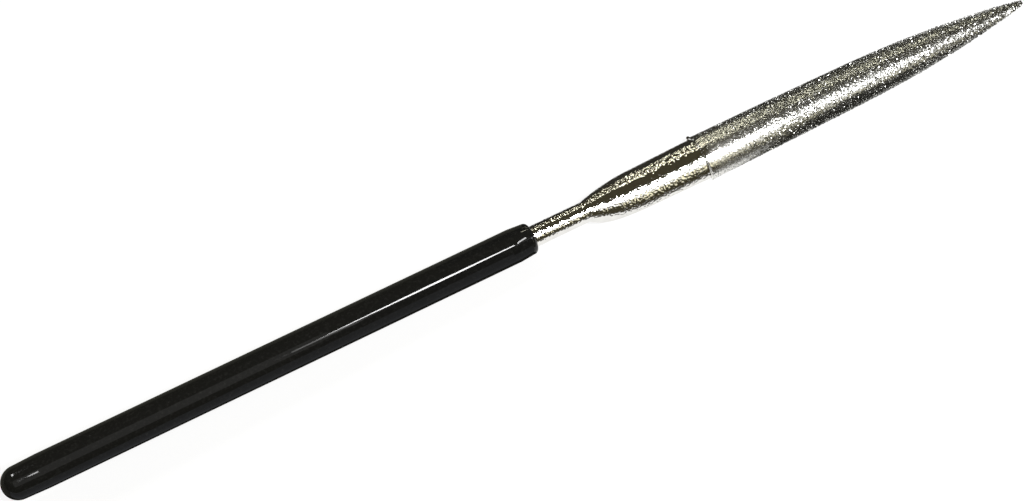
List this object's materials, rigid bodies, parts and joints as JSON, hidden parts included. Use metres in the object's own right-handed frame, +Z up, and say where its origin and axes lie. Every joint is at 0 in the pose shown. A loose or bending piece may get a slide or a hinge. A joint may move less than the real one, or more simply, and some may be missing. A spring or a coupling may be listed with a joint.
{
  "type": "half-round diamond file",
  "caption": "Half-round diamond-coated file: plated steel blade with a round back and a flat face, round neck and dipped plastic grip.",
  "frame": {"origin": "on the grip's axis, halfway along its straight wall", "axes": "+X runs from butt to point, dipped by the small angle at which the file lies on a table, +Z up, flat face down"},
  "size_m": [0.14, 0.0066, 0.0064],
  "materials": {
    "nickel": "bright nickel plate with an orange-peel surface",
    "diamond_grit": "sparkling bonded grit",
    "black_plastic": "glossy dipped plastic"
  },
  "bodies": {
    "root": {"steel_blank": "nickel", "diamond_coating": "diamond_grit", "grip_sleeve": "black_plastic"}
  },
  "joints": []
}
